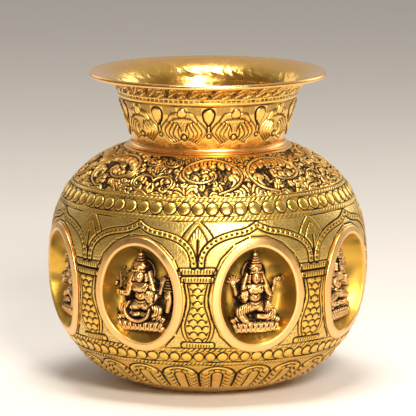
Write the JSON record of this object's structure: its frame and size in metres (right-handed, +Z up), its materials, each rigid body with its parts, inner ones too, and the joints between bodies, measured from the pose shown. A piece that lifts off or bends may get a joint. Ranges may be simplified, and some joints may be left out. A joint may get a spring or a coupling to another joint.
{
  "type": "kalash pot",
  "caption": "Squat round sheet-brass pot with a flared rolled-rim collar and oval niches round its belly, each holding a small cast seated figure.",
  "frame": {"origin": "middle of the flat base, on the surface the pot stands on", "axes": "+Z up along the pot's turning axis; -Y is towards the viewer, through the middle of a pillar between two niches"},
  "size_m": [0.2036, 0.2036, 0.2006],
  "materials": {
    "shell_brass": "chased and burnished, dark in the grooves",
    "collar_brass": "chased outside, hammered and polished inside",
    "trim_brass": "polished, slightly coppery",
    "niche_brass": "polished cup with a coppery flange",
    "figure_brass": "cast, antique patina in the hollows",
    "hidden_brass": "plain"
  },
  "bodies": {
    "root": {"lower_bowl": "shell_brass", "belly_shell": "shell_brass", "shoulder_dome": "shell_brass", "collar": "collar_brass", "neck_ring": "trim_brass", "rim_wire": "hidden_brass", "niche_cup_1": "niche_brass", "niche_cup_2": "niche_brass", "niche_cup_3": "niche_brass", "niche_cup_4": "niche_brass", "niche_cup_5": "niche_brass", "niche_cup_6": "niche_brass", "niche_cup_7": "niche_brass", "niche_cup_8": "niche_brass", "figure_1": "figure_brass", "figure_2": "figure_brass", "figure_3": "figure_brass", "figure_4": "figure_brass", "figure_5": "figure_brass", "figure_6": "figure_brass", "figure_7": "figure_brass", "figure_8": "figure_brass", "upper_rivet_1": "hidden_brass", "lower_rivet_1": "hidden_brass", "upper_rivet_2": "hidden_brass", "lower_rivet_2": "hidden_brass", "upper_rivet_3": "hidden_brass", "lower_rivet_3": "hidden_brass", "upper_rivet_4": "hidden_brass", "lower_rivet_4": "hidden_brass", "upper_rivet_5": "hidden_brass", "lower_rivet_5": "hidden_brass", "upper_rivet_6": "hidden_brass", "lower_rivet_6": "hidden_brass", "upper_rivet_7": "hidden_brass", "lower_rivet_7": "hidden_brass", "upper_rivet_8": "hidden_brass", "lower_rivet_8": "hidden_brass"}
  },
  "joints": []
}
